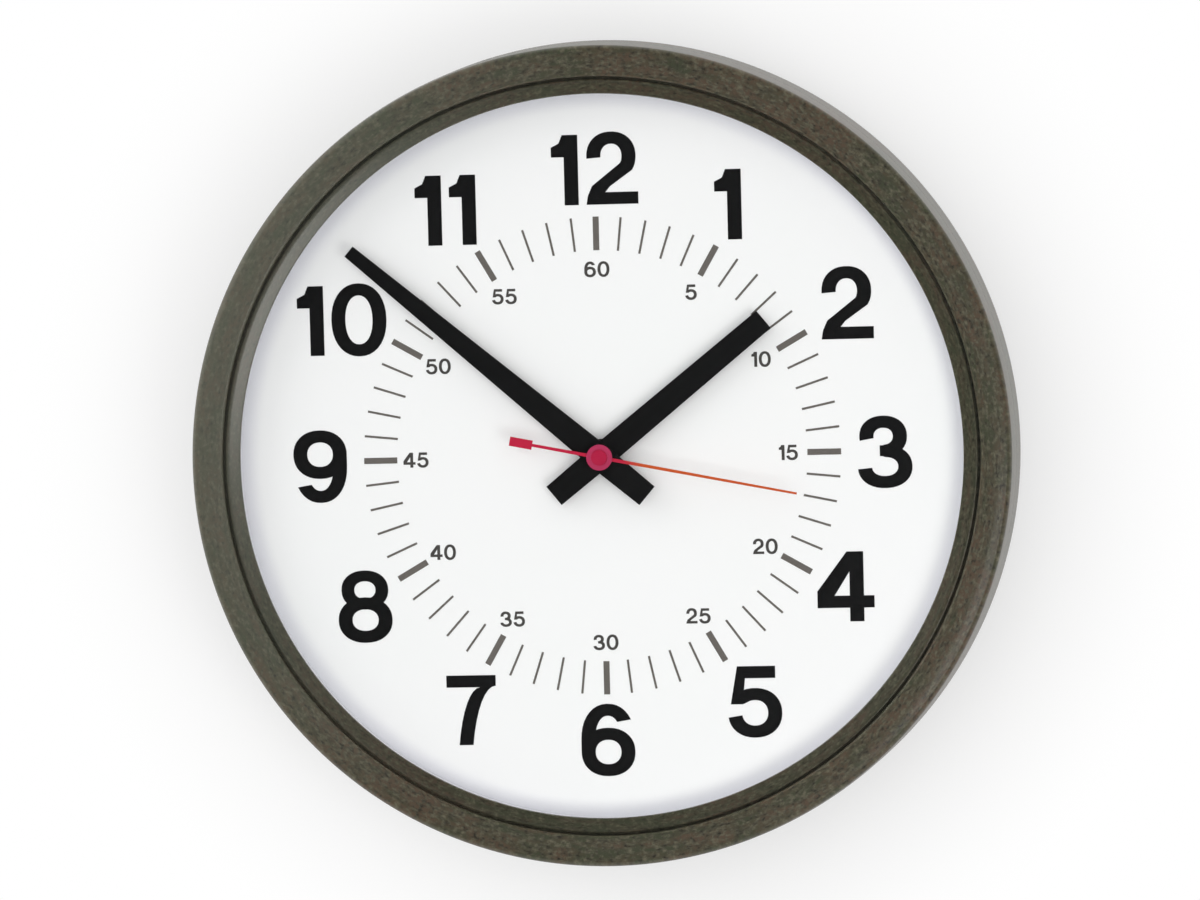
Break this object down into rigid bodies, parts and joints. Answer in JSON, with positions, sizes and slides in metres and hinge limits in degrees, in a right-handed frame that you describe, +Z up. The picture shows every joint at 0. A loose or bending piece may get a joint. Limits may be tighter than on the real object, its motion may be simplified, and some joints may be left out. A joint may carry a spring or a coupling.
{
  "type": "electric wall clock",
  "caption": "Round electric wall clock: bronze case and bezel, domed glass, white dial, three hands, synchronous motor, geared movement and keyhole hanger.",
  "frame": {"origin": "the hanging screw's axis where it meets the wall, at the upper end of the keyhole slot", "axes": "seen from the front, +X right, +Z up, +Y into the wall; the dial faces -Y"},
  "size_m": [0.3458, 0.051, 0.3458],
  "materials": {
    "bronze_paint": "mottled brushed bronze enamel",
    "dial_enamel": "satin white",
    "black_ink": "printed ink",
    "glass": "clear",
    "black_rubber": "matte",
    "cover_steel": "grey enamel",
    "zinc_steel": "zinc plated",
    "arbor_steel": "polished",
    "motor_iron": "bare",
    "brass": "satin",
    "dark_bronze": "blackened",
    "spring_bronze": "bright",
    "copper_wire": "varnished copper",
    "ferrite": "sintered",
    "bobbin_nylon": "moulded",
    "bakelite": "moulded",
    "lead_cover": "woven sleeve",
    "hand_black": "satin black",
    "hand_red": "satin red"
  },
  "bodies": {
    "case": {"case_shell": "bronze_paint", "bezel": "bronze_paint", "inner_ring": "bronze_paint", "lens": "glass", "lens_gasket": "black_rubber", "dial_ring": "dial_enamel", "dial_plate": "dial_enamel", "hour_numerals": "black_ink", "minute_marks": "black_ink", "minute_numerals": "black_ink", "bezel_screws": "zinc_steel", "back_cover": "cover_steel", "cover_screws": "zinc_steel", "hanger_plate": "zinc_steel", "hanger_rivets": "zinc_steel", "wall_pads": "black_rubber", "cord_grommet": "black_rubber", "terminal_block": "bakelite", "terminal_screws": "brass", "coil_leads": "lead_cover", "front_plate": "brass", "rear_plate": "brass", "pillars": "zinc_steel", "pillar_screws": "zinc_steel", "pillar_nuts": "zinc_steel", "centre_bushing": "brass", "dial_washer": "dark_bronze", "dial_nut": "dark_bronze", "motor_cup": "motor_iron", "pole_plate": "motor_iron", "coil_bobbin": "bobbin_nylon", "coil_winding": "copper_wire", "motor_screws": "zinc_steel", "motion_stud": "arbor_steel", "motion_clip": "zinc_steel"},
    "minute_group": {"minute_wheel": "brass", "clutch_spring": "spring_bronze", "cannon_pinion": "arbor_steel", "minute_hand": "hand_black", "minute_nut": "hand_black"},
    "second_group": {"second_wheel": "brass", "second_arbor": "arbor_steel", "second_hand": "hand_red", "second_hub": "hand_red"},
    "hour_group": {"hour_wheel": "brass", "hour_pipe": "brass", "hour_hand": "hand_black"},
    "middle_group": {"middle_wheel": "brass", "middle_arbor": "arbor_steel"},
    "motion_group": {"motion_wheel": "brass", "motion_pinion": "arbor_steel"},
    "setting_group": {"set_arbor": "arbor_steel", "set_knob": "bakelite"},
    "output_group": {"output_wheel": "brass", "output_arbor": "arbor_steel"},
    "first_group": {"first_wheel": "brass", "first_arbor": "arbor_steel"},
    "rotor_group": {"rotor_magnet": "ferrite", "rotor_arbor": "arbor_steel"}
  },
  "joints": [
    {"name": "minute_turn", "type": "hinge", "parent": "case", "child": "minute_group", "pos_m": [0, -0.02, -0.118], "axis": [0, 1, 0], "continuous": true},
    {"name": "second_turn", "type": "hinge", "parent": "case", "child": "second_group", "pos_m": [0, -0.02, -0.118], "axis": [0, 1, 0], "continuous": true},
    {"name": "hour_turn", "type": "hinge", "parent": "case", "child": "hour_group", "pos_m": [0, -0.02, -0.118], "axis": [0, 1, 0], "continuous": true},
    {"name": "middle_turn", "type": "hinge", "parent": "case", "child": "middle_group", "pos_m": [-0.01247, -0.02, -0.1108], "axis": [0, 1, 0], "continuous": true},
    {"name": "motion_turn", "type": "hinge", "parent": "case", "child": "motion_group", "pos_m": [0.01128, -0.02, -0.1139], "axis": [0, 1, 0], "continuous": true},
    {"name": "setting_turn", "type": "hinge", "parent": "case", "child": "setting_group", "pos_m": [0.02047, -0.02, -0.10618], "axis": [0, 1, 0], "continuous": true},
    {"name": "output_turn", "type": "hinge", "parent": "case", "child": "output_group", "pos_m": [-0.0086, -0.02, -0.13029], "axis": [0, 1, 0], "continuous": true},
    {"name": "first_turn", "type": "hinge", "parent": "case", "child": "first_group", "pos_m": [-0.00488, -0.02, -0.1442], "axis": [0, 1, 0], "continuous": true},
    {"name": "rotor_turn", "type": "hinge", "parent": "case", "child": "rotor_group", "pos_m": [0.00852, -0.02, -0.14183], "axis": [0, 1, 0], "continuous": true}
  ],
  "couplings": [
    {"joint": "second_turn", "follows": "minute_turn", "ratio": 60},
    {"joint": "hour_turn", "follows": "minute_turn", "ratio": 0.083333},
    {"joint": "middle_turn", "follows": "minute_turn", "ratio": -7.5},
    {"joint": "motion_turn", "follows": "minute_turn", "ratio": -0.33333},
    {"joint": "setting_turn", "follows": "minute_turn", "ratio": 1},
    {"joint": "output_turn", "follows": "minute_turn", "ratio": -240},
    {"joint": "first_turn", "follows": "minute_turn", "ratio": 1920},
    {"joint": "rotor_turn", "follows": "minute_turn", "ratio": -14400}
  ]
}
